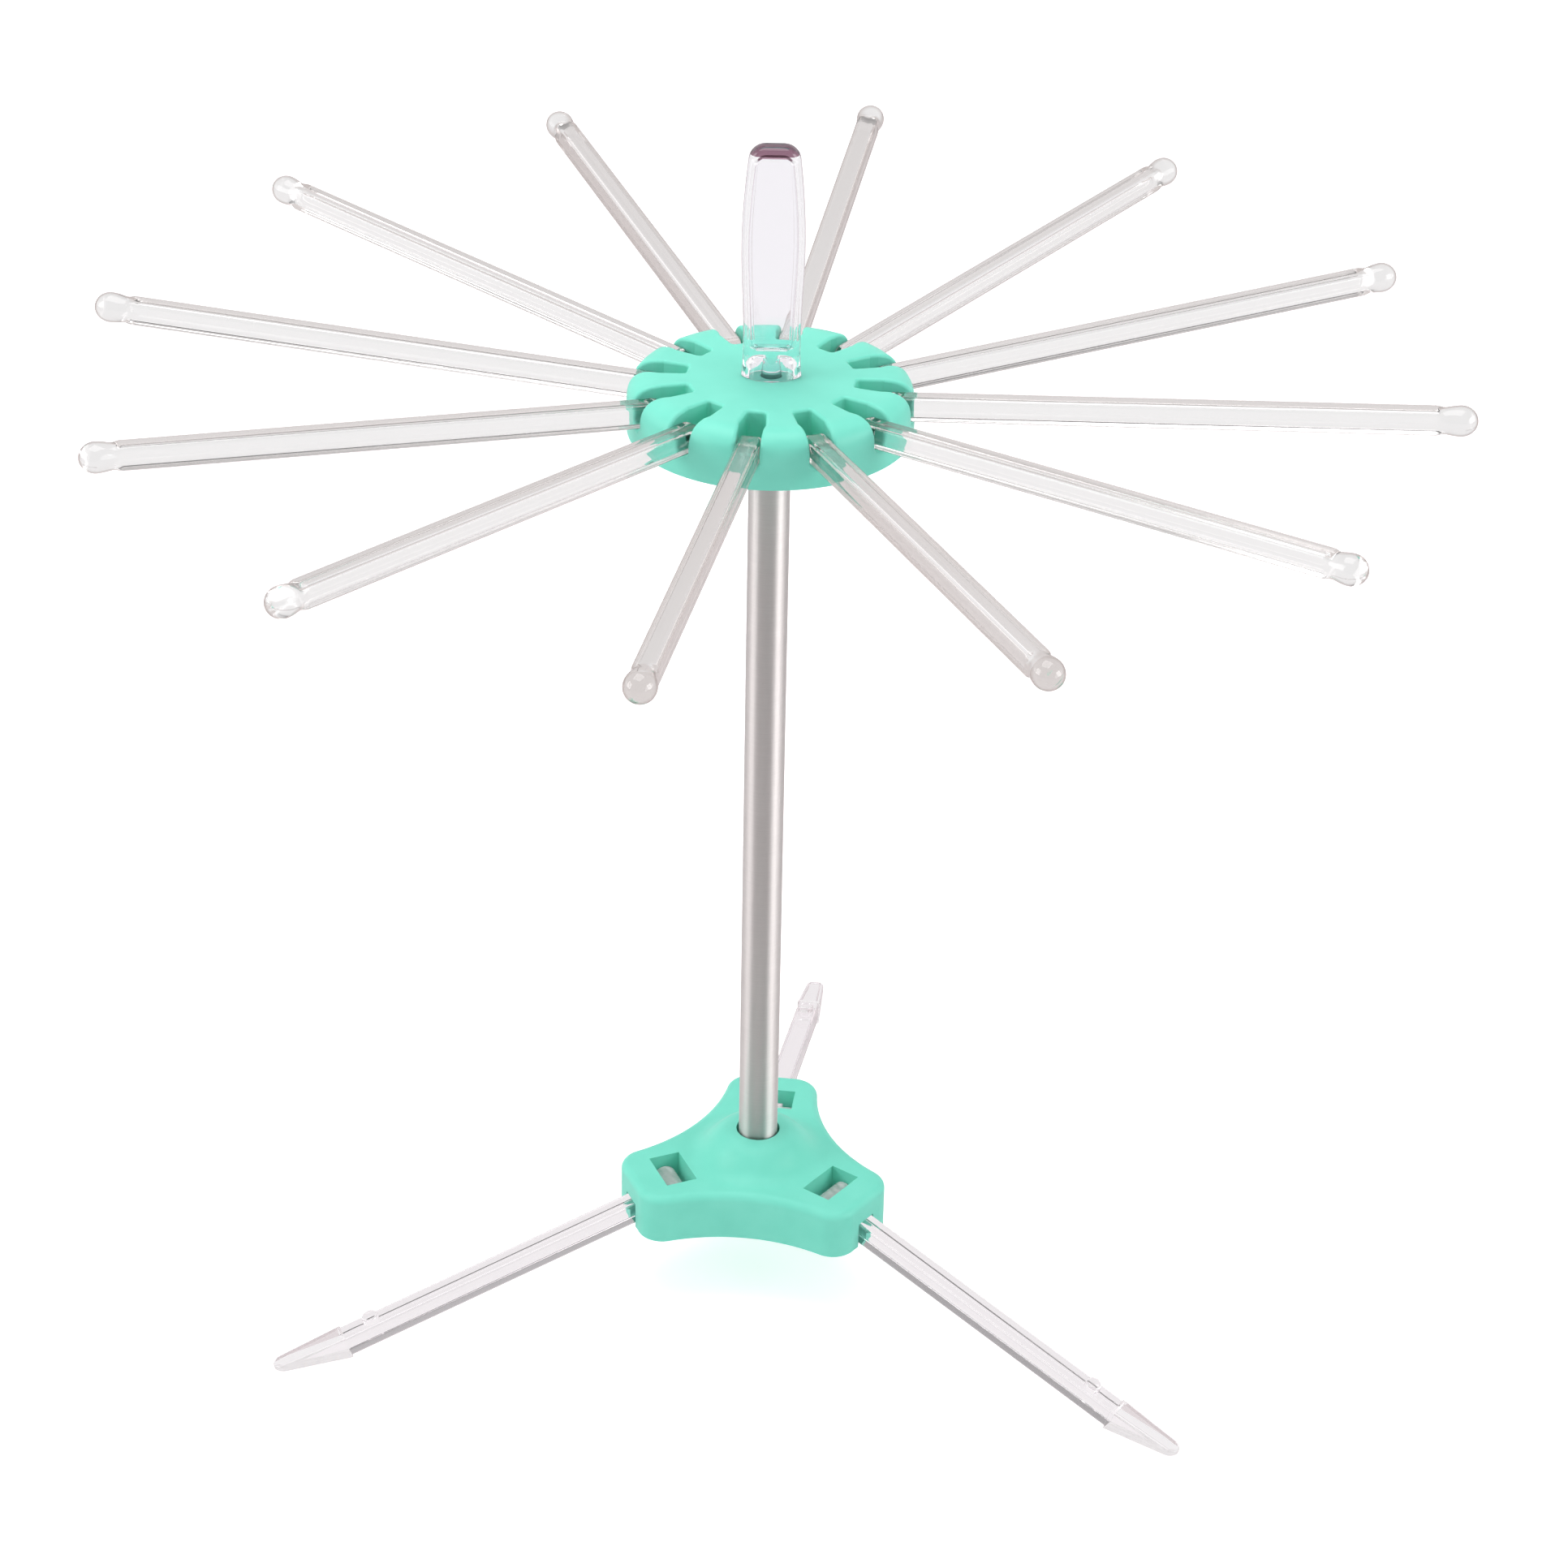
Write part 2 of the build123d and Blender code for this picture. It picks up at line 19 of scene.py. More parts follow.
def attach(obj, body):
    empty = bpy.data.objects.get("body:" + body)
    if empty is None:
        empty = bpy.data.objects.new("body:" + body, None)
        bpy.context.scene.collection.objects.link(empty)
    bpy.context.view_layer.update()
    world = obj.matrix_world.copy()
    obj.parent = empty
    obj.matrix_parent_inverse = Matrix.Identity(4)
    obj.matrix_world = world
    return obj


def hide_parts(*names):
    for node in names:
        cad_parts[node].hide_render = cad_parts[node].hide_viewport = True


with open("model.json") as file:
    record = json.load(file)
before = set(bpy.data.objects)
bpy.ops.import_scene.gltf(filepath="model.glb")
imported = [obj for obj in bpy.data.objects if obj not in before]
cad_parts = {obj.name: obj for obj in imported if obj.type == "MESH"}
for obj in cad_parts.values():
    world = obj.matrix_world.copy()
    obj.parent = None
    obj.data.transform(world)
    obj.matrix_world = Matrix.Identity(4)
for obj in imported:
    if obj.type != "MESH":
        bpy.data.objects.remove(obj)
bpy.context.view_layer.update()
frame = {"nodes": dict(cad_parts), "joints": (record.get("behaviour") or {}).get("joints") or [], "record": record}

MM = 0.001
nodes = frame["nodes"]
joints = {joint["name"]: joint for joint in frame["joints"]}
arm_names = sorted(name for name in nodes if name.startswith("arm_"))
leg_names = sorted(name for name in nodes if name.startswith("leg_"))
print("arms", len(arm_names), "legs", len(leg_names))

# %% [markdown]
# ## Camera
# The picture was taken with a long lens, a little from above. The camera looks
# down by about thirty degrees and leans a touch to one side, so it is turned in
# three steps: upright, then down, then the lean. A long lens keeps the round
# head and the feet in the same gentle perspective as in the picture.

# %% Camera
camera_place = Vector((0.15162, -1.23051, 0.92292))
camera_turn = radians(6.705)
camera_pitch = radians(30.176)
camera_lean = radians(1.168)
lens_mm = 94.93
sensor_mm = 36.0
farthest_seen = 10.0


def add_camera():
    """A camera at the photograph's place and angle."""
    data = bpy.data.cameras.new("camera")
    data.lens = lens_mm
    data.sensor_width = sensor_mm
    data.sensor_fit = "HORIZONTAL"
    data.clip_end = farthest_seen
    camera = bpy.data.objects.new("camera", data)
    turn = Matrix.Rotation(camera_turn, 4, "Z")
    tilt = Matrix.Rotation(pi / 2 - camera_pitch, 4, "X")
    lean = Matrix.Rotation(camera_lean, 4, "Z")
    camera.matrix_world = Matrix.Translation(camera_place) @ turn @ tilt @ lean
    bpy.context.scene.collection.objects.link(camera)
    bpy.context.scene.camera = camera
    return camera


camera = add_camera()
print("camera height", round(camera.location.z, 3))

# %% [markdown]
# ## Nodes
# Every finish, the floor and the world are small trees of nodes. They could be
# linked by hand in the shader editor. In a script, a few helpers do the same:
# one empties a tree, one adds a node, one sets its inputs, and the others join
# nodes in ways that come back often. Light Path tells which kind of ray is
# asking, so one surface can answer the eye and the light differently.

# %% Node helpers
def node_tree(owner):
    """An empty node tree for a material or a world."""
    owner.use_nodes = True
    tree = owner.node_tree
    tree.nodes.clear()
    return tree


def add_node(tree, kind, **values):
    """A node of one kind, with some of its inputs or properties set."""
    node = tree.nodes.new(kind)
    for name, value in values.items():
        if name in node.inputs:
            node.inputs[name].default_value = value
        else:
            setattr(node, name, value)
    return node


def set_inputs(node, values):
    """Sets inputs whose names have spaces."""
    for name, value in values.items():
        node.inputs[name].default_value = value
    return node


def chosen_rays(tree, *ray_names):
    """One where a ray is of any of these kinds, and zero elsewhere."""
    path = add_node(tree, "ShaderNodeLightPath")
    total = path.outputs[ray_names[0]]
    for name in ray_names[1:]:
        most = add_node(tree, "ShaderNodeMath", operation="MAXIMUM")
        tree.links.new(total, most.inputs[0])
        tree.links.new(path.outputs[name], most.inputs[1])
        total = most.outputs[0]
    return total


def worked(tree, operation, first, second):
    """The outcome of a sum, where the second value may be a plain number."""
    node = add_node(tree, "ShaderNodeMath", operation=operation)
    tree.links.new(first, node.inputs[0])
    if isinstance(second, float):
        node.inputs[1].default_value = second
    else:
        tree.links.new(second, node.inputs[1])
    return node.outputs[0]


def swapped_where(tree, factor, usual, instead):
    """One shader, and another in its stead where the factor is one."""
    mix = add_node(tree, "ShaderNodeMixShader")
    for number, output in enumerate((factor, usual.outputs[0], instead.outputs[0])):
        tree.links.new(output, mix.inputs[number])
    return mix


# %% [markdown]
# ## Floor
# The object stands on a plain white sweep. A curved backdrop could give that,
# but it would show from the side, so the floor is one large flat sheet. Where
# the eye sees it straight, a glow lifts it to pure white, and further away it
# glows more, so that it never ends in a grey line. The soft shadow stays. Seen
# through clear plastic it is one even white, a little under full, so that the
# plastic can be told from what is behind it. For the light that it sends up it
# keeps its own pale colour, so that the steel keeps its soft dark bands.

# %% Floor
floor_size = 80.0
floor_color = (0.90, 0.85, 0.85, 1)
seen_glow = 0.50
glow_rises_from = 0.7
glow_full_at = 2.2
through_clear = 0.94


def floor_glow(tree):
    """A glow for the eye alone, which rises with the distance from the object."""
    place = add_node(tree, "ShaderNodeTexCoord")
    away = add_node(tree, "ShaderNodeVectorMath", operation="LENGTH")
    tree.links.new(place.outputs["Object"], away.inputs[0])
    rise = {"From Min": glow_rises_from, "From Max": glow_full_at, "To Min": seen_glow, "To Max": 1.0}
    level = set_inputs(add_node(tree, "ShaderNodeMapRange"), rise)
    tree.links.new(away.outputs["Value"], level.inputs["Value"])
    glow = add_node(tree, "ShaderNodeEmission")
    strength = worked(tree, "MULTIPLY", level.outputs["Result"], chosen_rays(tree, "Is Camera Ray"))
    tree.links.new(strength, glow.inputs["Strength"])
    return glow


def floor_material():
    """A matt white sheet, lifted where it is seen, and plain white through clear plastic."""
    material = bpy.data.materials.new("floor_white")
    tree = node_tree(material)
    matt = set_inputs(add_node(tree, "ShaderNodeBsdfDiffuse"), {"Color": floor_color})
    sheet = add_node(tree, "ShaderNodeAddShader")
    tree.links.new(matt.outputs[0], sheet.inputs[0])
    tree.links.new(floor_glow(tree).outputs[0], sheet.inputs[1])
    through = set_inputs(add_node(tree, "ShaderNodeEmission"), {"Strength": through_clear})
    either = swapped_where(tree, chosen_rays(tree, "Is Transmission Ray"), sheet, through)
    output = add_node(tree, "ShaderNodeOutputMaterial")
    tree.links.new(either.outputs[0], output.inputs["Surface"])
    return material


def add_floor():
    """A large flat sheet under the object, which isn't part of it."""
    bpy.ops.object.select_all(action="DESELECT")
    bpy.ops.mesh.primitive_plane_add(size=floor_size)
    floor = bpy.context.active_object
    floor.name = "floor"
    floor.data.materials.append(floor_material())
    return floor


floor = add_floor()
print("floor", round(floor.dimensions.x), "m wide")

# %% [markdown]
# ## World
# The world has four jobs. To the eye it is plain white. As a light it is dim.
# In mirrors it is a studio: darker to the front and overhead, with a bright
# strip on each side, which draws the upright bands on the steel tube. A ray
# that has only crossed clear plastic finds the same even white as on the floor.
# An image of a studio could do this, but a few blends by direction are enough.

# %% World
front_of_studio = (0.12, -0.99, 0.0)
front_level = 0.22
overhead_level = 0.40
strip_blur = 0.07
# a strip starts at this cosine of the angle from its direction
strips = [{"direction": (0.974, -0.225, 0.0), "start": 0.80, "strength": 2.2},
          {"direction": (-1.0, 0.03, 0.0), "start": 0.90, "strength": 1.0}]
white = (1, 1, 1, 1)
light_color = (0.96, 0.98, 1, 1)
light_strength = 0.45


def fade_towards(tree, direction, start, end, there, away=1.0):
    """A value that changes smoothly towards one direction of the sky."""
    place = add_node(tree, "ShaderNodeTexCoord")
    towards = add_node(tree, "ShaderNodeVectorMath", operation="DOT_PRODUCT")
    towards.inputs[1].default_value = direction
    tree.links.new(place.outputs["Generated"], towards.inputs[0])
    fade = set_inputs(add_node(tree, "ShaderNodeMapRange"),
                      {"From Min": start, "From Max": end, "To Min": away, "To Max": there})
    tree.links.new(towards.outputs["Value"], fade.inputs["Value"])
    return fade.outputs["Result"]


def straight_through(tree):
    """One for a ray that has crossed clear plastic without a mirror bounce inside it."""
    path = add_node(tree, "ShaderNodeLightPath")
    unbounced = worked(tree, "LESS_THAN", path.outputs["Glossy Depth"], 0.5)
    return worked(tree, "MULTIPLY", path.outputs["Is Transmission Ray"], unbounced)


def background(tree, color, strength=1.0):
    """A plain background of one colour."""
    return set_inputs(add_node(tree, "ShaderNodeBackground"), {"Color": color, "Strength": strength})


def studio(tree):
    """What mirrors see: dim to the front and overhead, with a bright strip on each side."""
    to_front = fade_towards(tree, front_of_studio, start=0.0, end=0.7, there=front_level)
    to_ceiling = fade_towards(tree, (0, 0, 1), start=0.15, end=0.75, there=overhead_level)
    total = worked(tree, "MULTIPLY", to_front, to_ceiling)
    for strip in strips:
        end = strip["start"] + strip_blur
        within = fade_towards(tree, strip["direction"], strip["start"], end, there=1.0, away=0.0)
        total = worked(tree, "ADD", total, worked(tree, "MULTIPLY", within, strip["strength"]))
    mirrored = background(tree, white)
    tree.links.new(total, mirrored.inputs["Strength"])
    return mirrored


def make_world():
    """White to the eye, dim as a light, a studio in mirrors, and even white through plastic."""
    world = bpy.data.worlds.new("studio")
    bpy.context.scene.world = world
    tree = node_tree(world)
    lit = background(tree, light_color, light_strength)
    mirror_rays = chosen_rays(tree, "Is Glossy Ray", "Is Transmission Ray")
    shown = swapped_where(tree, mirror_rays, lit, studio(tree))
    crossed = swapped_where(tree, straight_through(tree), shown, background(tree, white, through_clear))
    seen = swapped_where(tree, chosen_rays(tree, "Is Camera Ray"), crossed, background(tree, white))
    output = add_node(tree, "ShaderNodeOutputWorld")
    tree.links.new(seen.outputs[0], output.inputs["Surface"])
    return world


print("world", make_world().name)

# %% [markdown]
# ## Lamps
# Product pictures are lit by large soft boxes, which give wide highlights and
# no hard shadows. One hangs above, and one stands on each side. They are as
# strong as it takes for a colour to render about as it is written.

# %% Lamps
def add_lamp(name, place, target, size, power):
    """A square soft lamp that looks at a point."""
    data = bpy.data.lights.new(name, "AREA")
    data.shape = "SQUARE"
    data.size = size
    data.energy = power
    lamp = bpy.data.objects.new(name, data)
    lamp.location = place
    lamp.rotation_euler = (Vector(target) - Vector(place)).to_track_quat("-Z", "Y").to_euler()
    bpy.context.scene.collection.objects.link(lamp)
    return lamp


middle_of_rack = (0, 0, 0.25)
lamps = [add_lamp("lamp_top", (-0.2, 0.1, 1.9), middle_of_rack, size=1.4, power=17),
         add_lamp("lamp_left", (-1.5, -0.6, 0.9), middle_of_rack, size=1.0, power=11),
         add_lamp("lamp_right", (1.6, -0.45, 0.8), middle_of_rack, size=0.9, power=9)]
print("lamps", len(lamps))

# %% [markdown]
# ## Finishes
# Four kinds of finish cover the rack: mint plastic with a soft gloss,
# water-clear plastic, satin steel and a dark matt plastic for the plug and the
# bush in the tube. Photographs could be laid on the pieces, but they would bring
# their own light with them. So each finish is a single principled shader, with
# fine noise that is fixed to the piece, so that no surface is quite even.

# %% Finish helpers
def principled(name):
    """A new material with one principled shader, and its tree."""
    material = bpy.data.materials.new(name)
    tree = node_tree(material)
    shader = add_node(tree, "ShaderNodeBsdfPrincipled")
    output = add_node(tree, "ShaderNodeOutputMaterial")
    tree.links.new(shader.outputs[0], output.inputs["Surface"])
    return material, tree, shader


def object_noise(tree, scale, stretch=(1, 1, 1), detail=2.0):
    """Noise that is fixed to the piece, stretched along its axes."""
    place = add_node(tree, "ShaderNodeTexCoord")
    mapping = set_inputs(add_node(tree, "ShaderNodeMapping"), {"Scale": stretch})
    noise = set_inputs(add_node(tree, "ShaderNodeTexNoise"), {"Scale": scale, "Detail": detail})
    tree.links.new(place.outputs["Object"], mapping.inputs["Vector"])
    tree.links.new(mapping.outputs["Vector"], noise.inputs["Vector"])
    return noise


def between(tree, factor, low, high):
    """A value that runs from low to high with a factor."""
    spread = set_inputs(add_node(tree, "ShaderNodeMapRange"), {"To Min": low, "To Max": high})
    tree.links.new(factor, spread.inputs["Value"])
    return spread.outputs["Result"]


def ramp_of(tree, factor, stops):
    """A colour ramp with any number of stops, each a place and a colour."""
    ramp = add_node(tree, "ShaderNodeValToRGB")
    marks = ramp.color_ramp.elements
    while len(marks) < len(stops):
        marks.new(0.5)
    for mark, (place, color) in zip(marks, stops):
        mark.position = place
        mark.color = tuple(color) + (1,)
    tree.links.new(factor, ramp.inputs["Fac"])
    return ramp.outputs["Color"]


def bumps(tree, shader, height, strength, distance):
    """Fine relief on a shader's surface."""
    bump = set_inputs(add_node(tree, "ShaderNodeBump"), {"Strength": strength, "Distance": distance})
    tree.links.new(height, bump.inputs["Height"])
    tree.links.new(bump.outputs["Normal"], shader.inputs["Normal"])


def clouded(tree, noise, deep, light):
    """A colour that drifts from deep to light with a noise, about its middle values."""
    return ramp_of(tree, noise.outputs["Fac"], [(0.3, deep), (0.7, light)])


# %% [markdown]
# The head and the base are moulded in one soft mint plastic. A single colour
# would do, but it would look painted on. A faint cloud in the colour and the
# gloss, and a grain as fine as a mould's skin, make it look moulded.

# %% Mint plastic
mint_deep = (0.205, 0.785, 0.620)
mint_light = (0.225, 0.815, 0.650)
mint_roughness = (0.34, 0.44)
cloud_scale = 90.0
grain_scale = 2600.0


def mint_material():
    """Opaque mint plastic: a faint cloud in its colour and gloss, and a fine mould grain."""
    material, tree, shader = principled("mint_plastic")
    set_inputs(shader, {"IOR": 1.46, "Specular IOR Level": 0.32})
    cloud = object_noise(tree, cloud_scale)
    tree.links.new(clouded(tree, cloud, mint_deep, mint_light), shader.inputs["Base Color"])
    tree.links.new(between(tree, cloud.outputs["Fac"], *mint_roughness), shader.inputs["Roughness"])
    grain = object_noise(tree, grain_scale)
    bumps(tree, shader, grain.outputs["Fac"], strength=0.06, distance=0.0002)
    return material


mint = mint_material()
print("made", mint.name)

# %% [markdown]
# Clear plastic shows by its edges. Where the surface turns away from the eye a
# real bar looks grey or brownish. Here that is painted shade: a layer weight
# makes the colour nearly white face on and darker along the outline. Light that
# bounces inside a bar many times would be lost to black, so after a few bounces
# the plastic gives a pale glow instead, which is painted light.
# The arms are the brownest and the legs the palest. The rim of the grip's top is
# painted a dark plum, as painted shade, where one looks down the whole height of its walls.

# %% Clear plastic
clear_ior = 1.47
flow_scale = 70.0
deep_bounce = 2.5
deep_glow = 0.24


def clear_material(name, stops, wave, glow_color):
    """Clear plastic with painted shade along its outline, faint flow marks, and a painted glow in place of black
    depths.
    """
    material, tree, shader = principled(name)
    set_inputs(shader, {"IOR": clear_ior, "Transmission Weight": 1.0})
    # painted shade: the colour darkens along the outline, by the surface's angle to the eye
    facing = set_inputs(add_node(tree, "ShaderNodeLayerWeight"), {"Blend": 0.5})
    tree.links.new(ramp_of(tree, facing.outputs["Facing"], stops), shader.inputs["Base Color"])
    flow = object_noise(tree, flow_scale)
    tree.links.new(between(tree, flow.outputs["Fac"], 0.0, 0.06), shader.inputs["Roughness"])
    bumps(tree, shader, flow.outputs["Fac"], strength=wave, distance=0.001)
    # painted light: a pale glow once a ray has bounced a few times inside
    depth = add_node(tree, "ShaderNodeLightPath").outputs["Glossy Depth"]
    deep = worked(tree, "GREATER_THAN", depth, deep_bounce)
    tree.links.new(between(tree, deep, 0.0, deep_glow), shader.inputs["Emission Strength"])
    shader.inputs["Emission Color"].default_value = glow_color + (1,)
    return material


# each ramp runs from the plastic's own pale tint face on to painted shade along the outline
arm_tint_and_painted_edge_shade = [(0.0, (0.94, 0.93, 0.93)), (0.46, (0.90, 0.88, 0.88)),
             (0.66, (0.47, 0.40, 0.38)), (1.0, (0.18, 0.11, 0.10))]
leg_tint_and_painted_edge_shade = [(0.0, (0.98, 0.94, 0.96)), (0.56, (0.95, 0.91, 0.93)),
             (0.76, (0.68, 0.60, 0.64)), (1.0, (0.34, 0.27, 0.31))]
grip_tint_and_painted_edge_shade = [(0.0, (0.99, 0.98, 1.00)), (0.56, (0.95, 0.93, 0.96)),
              (0.76, (0.44, 0.36, 0.40)), (1.0, (0.20, 0.12, 0.16))]
# painted shade: the grip's top is near black all over, with only a dim glow
crown_painted_shade_stops = [(0.0, (0.10, 0.030, 0.055)), (0.56, (0.06, 0.015, 0.03)),
               (0.76, (0.03, 0.01, 0.02)), (1.0, (0.02, 0.005, 0.01))]
clear_arm = clear_material("clear_arm", arm_tint_and_painted_edge_shade, wave=0.02, glow_color=(1.0, 0.94, 0.92))
clear_leg = clear_material("clear_leg", leg_tint_and_painted_edge_shade, wave=0.01, glow_color=(1.0, 0.95, 0.98))
clear_grip = clear_material("clear_grip", grip_tint_and_painted_edge_shade, wave=0.01, glow_color=(1.0, 0.96, 0.99))
clear_crown = clear_material("clear_crown", crown_painted_shade_stops, wave=0.01, glow_color=(0.12, 0.04, 0.07))
print("made", clear_arm.name, clear_leg.name, clear_grip.name, clear_crown.name)

# %% [markdown]
# The round barrel at a leg's root has fine ribs, so it looks frosted and paler
# than the bar. Ribs could be cut into the barrel, but they are so fine that
# relief in the finish is enough. A band pattern gives it. The bands lie slantwise
# to all three axes, so that they cross each barrel, whichever way it points.

# %% Ribbed barrel
rib_scale = 130.0
frost_scale = 900.0
frost_deep = (0.80, 0.80, 0.79)
frost_light = (0.90, 0.90, 0.89)
frost_roughness = (0.18, 0.30)


def ribbed_material():
    """Frosted clear plastic with fine ribs."""
    material, tree, shader = principled("ribbed_clear")
    set_inputs(shader, {"IOR": clear_ior, "Transmission Weight": 0.45})
    grain = object_noise(tree, frost_scale)
    tree.links.new(clouded(tree, grain, frost_deep, frost_light), shader.inputs["Base Color"])
    tree.links.new(between(tree, grain.outputs["Fac"], *frost_roughness), shader.inputs["Roughness"])
    place = add_node(tree, "ShaderNodeTexCoord")
    ribs = add_node(tree, "ShaderNodeTexWave", wave_type="BANDS", bands_direction="DIAGONAL")
    set_inputs(ribs, {"Scale": rib_scale, "Distortion": 0.0})
    tree.links.new(place.outputs["Object"], ribs.inputs["Vector"])
    bumps(tree, shader, ribs.outputs["Fac"], strength=0.6, distance=0.0004)
    return material


ribbed_clear = ribbed_material()
print("made", ribbed_clear.name)

# %% [markdown]
# The tube is satin steel, ground round and round, so a lamp draws out into an
# upright streak. Fine grooves round it would do that, but they are too small to
# model. Anisotropy does the same, with the tangent running round the column. The
# washer and the screws are plain steel, and the plug and the bush dark plastic.

# %% Steel
stroke_scale = 900.0
round_the_column = (0.12, 0.12, 3)


def steel_material(name, color, roughness, stretch):
    """Steel with fine strokes, which follow the stretch of the noise."""
    material, tree, shader = principled(name)
    set_inputs(shader, {"Metallic": 1.0})
    strokes = object_noise(tree, stroke_scale, stretch, detail=4.0)
    dull = tuple(0.95 * part for part in color)
    tree.links.new(clouded(tree, strokes, dull, color), shader.inputs["Base Color"])
    tree.links.new(between(tree, strokes.outputs["Fac"], *roughness), shader.inputs["Roughness"])
    return material


def ground_round(material):
    """Draws the steel's reflections out along the column."""
    tree = material.node_tree
    shader = next(node for node in tree.nodes if node.type == "BSDF_PRINCIPLED")
    set_inputs(shader, {"Anisotropic": 0.92, "Anisotropic Rotation": 0.25})
    tangent = add_node(tree, "ShaderNodeTangent", direction_type="RADIAL", axis="Z")
    tree.links.new(tangent.outputs["Tangent"], shader.inputs["Tangent"])


column_steel = steel_material("column_steel", (0.66, 0.63, 0.62), (0.40, 0.46), round_the_column)
ground_round(column_steel)
screw_steel = steel_material("screw_steel", (0.62, 0.62, 0.63), (0.25, 0.35), (1, 1, 1))
print("made", column_steel.name, screw_steel.name)

# %% Dark plastic
dark_deep = (0.020, 0.022, 0.022)
dark_light = (0.034, 0.036, 0.036)
dark_scale = 400.0


def dark_material():
    """Dark matt plastic with a faint cloud."""
    material, tree, shader = principled("inner_plastic")
    cloud = object_noise(tree, dark_scale)
    tree.links.new(clouded(tree, cloud, dark_deep, dark_light), shader.inputs["Base Color"])
    set_inputs(shader, {"Roughness": 0.55})
    return material


dark = dark_material()
print("made", dark.name)

# %% [markdown]
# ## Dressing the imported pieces
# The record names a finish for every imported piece: the head, the base, the tube
# and the small parts inside. They could be picked and painted one by one, but a
# loop over the record can't forget a piece. The clear ones are dressed too, and
# then stand back for the pieces that are modelled below.

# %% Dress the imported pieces
def dress(name, material):
    """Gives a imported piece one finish."""
    slots = nodes[name].data.materials
    slots.clear()
    slots.append(material)


finish_of = {"mint_plastic": mint, "clear_arms": clear_arm, "clear_legs": clear_leg,
             "clear_grip": clear_grip, "column_steel": column_steel,
             "screw_steel": screw_steel, "inner_plastic": dark}
for part in frame["record"]["subparts"]:
    dress(part["node"], finish_of[part["material_slot"]])

# %% [markdown]
# ## Working by hand
# The clear pieces are modelled here with the same tools that one would use in
# the window: add a primitive, go into edit mode, choose faces or edges, and
# extrude, scale, bevel or cut them. Points could also be listed in code, but
# then no step could be followed by eye. The helpers below start and end the edit
# mode, choose things by their place, and shape, join and finish a piece.

# %% Helpers that begin a piece
def named(name):
    """Names the primitive just added, and lays its place and size into its mesh."""
    piece = bpy.context.active_object
    piece.name = name
    bpy.ops.object.transform_apply(location=True, rotation=True, scale=True)
    return piece


def block(name, centre, size):
    """A box about a centre."""
    bpy.ops.object.select_all(action="DESELECT")
    bpy.ops.mesh.primitive_cube_add(size=1, location=centre, scale=size)
    return named(name)


def pick(piece):
    """Selects one piece alone and makes it the active one."""
    bpy.ops.object.select_all(action="DESELECT")
    piece.select_set(True)
    bpy.context.view_layer.objects.active = piece


def edit(piece):
    """Goes into edit mode on one piece, with nothing chosen."""
    pick(piece)
    bpy.ops.object.mode_set(mode="EDIT")
    bpy.ops.mesh.select_all(action="DESELECT")


def leave_edit():
    """Goes back to object mode."""
    bpy.ops.object.mode_set(mode="OBJECT")


# %% Helpers that choose and shape
def middle_of(item):
    """The middle of an edge or a face."""
    places = [vert.co for vert in item.verts]
    return sum(places, Vector()) / len(places)


def choose(piece, kind, test):
    """Selects the edges or faces that pass a test of their middle and themselves."""
    bpy.ops.mesh.select_mode(type={"edges": "EDGE", "faces": "FACE"}[kind])
    bpy.ops.mesh.select_all(action="DESELECT")
    mesh = bmesh.from_edit_mesh(piece.data)
    for item in getattr(mesh, kind):
        if test(middle_of(item), item):
            item.select_set(True)
    bmesh.update_edit_mesh(piece.data)


def is_along(edge, axis):
    """True for an edge that runs along one axis."""
    run = edge.verts[1].co - edge.verts[0].co
    return abs(run[axis]) > 0.99 * run.length


def resize_to(piece, halves):
    """Scales what is chosen about its middle to these half sizes; None leaves one alone."""
    mesh = bmesh.from_edit_mesh(piece.data)
    places = [vert.co for vert in mesh.verts if vert.select]
    centre = sum(places, Vector()) / len(places)
    factors = [1.0, 1.0, 1.0]
    for axis, half in enumerate(halves):
        if half is not None:
            factors[axis] = half / max(abs(place[axis] - centre[axis]) for place in places)
    bpy.ops.transform.resize(value=factors, center_override=centre)


def grow(piece, step, halves, roundness=0.0):
    """Extrudes the chosen end face by a step, makes it rounder if asked, and gives it a size."""
    bpy.ops.mesh.extrude_region_move(TRANSFORM_OT_translate={"value": step})
    if roundness:
        bpy.ops.transform.tosphere(value=roundness)
    resize_to(piece, halves)


def cut_across(piece, axis, places):
    """Cuts the whole piece by flat planes across one axis."""
    for place in places:
        bpy.ops.mesh.select_all(action="SELECT")
        normal = [float(axis == number) for number in range(3)]
        point = [place * part for part in normal]
        bpy.ops.mesh.bisect(plane_co=point, plane_no=normal)


def bevel(offset, segments):
    """Rounds the chosen edges."""
    bpy.ops.mesh.bevel(offset=offset, segments=segments, affect="EDGES")


def eased(part):
    """A share from 0 to 1 that starts and ends gently."""
    return 3 * part ** 2 - 2 * part ** 3


# %% Helpers that join and finish
def combine(piece, other, operation="UNION"):
    """Joins another solid to a piece, or cuts it away, and removes the other."""
    pick(piece)
    bpy.ops.object.modifier_add(type="BOOLEAN")
    modifier = piece.modifiers[-1]
    modifier.operation = operation
    modifier.solver = "EXACT"
    modifier.object = other
    bpy.ops.object.modifier_apply(modifier=modifier.name)
    bpy.data.objects.remove(other)


def smooth(piece, angle=35):
    """Smooth shading up to an angle, with flat faces kept flat."""
    pick(piece)
    bpy.ops.object.shade_smooth_by_angle(angle=radians(angle))
    bpy.ops.object.modifier_add(type="WEIGHTED_NORMAL")
    piece.modifiers[-1].keep_sharp = True
    bpy.ops.object.modifier_apply(modifier=piece.modifiers[-1].name)


def place_piece(piece, matrix):
    """Moves a piece by a matrix and lays the move into its mesh."""
    piece.data.transform(matrix)
    piece.data.update()


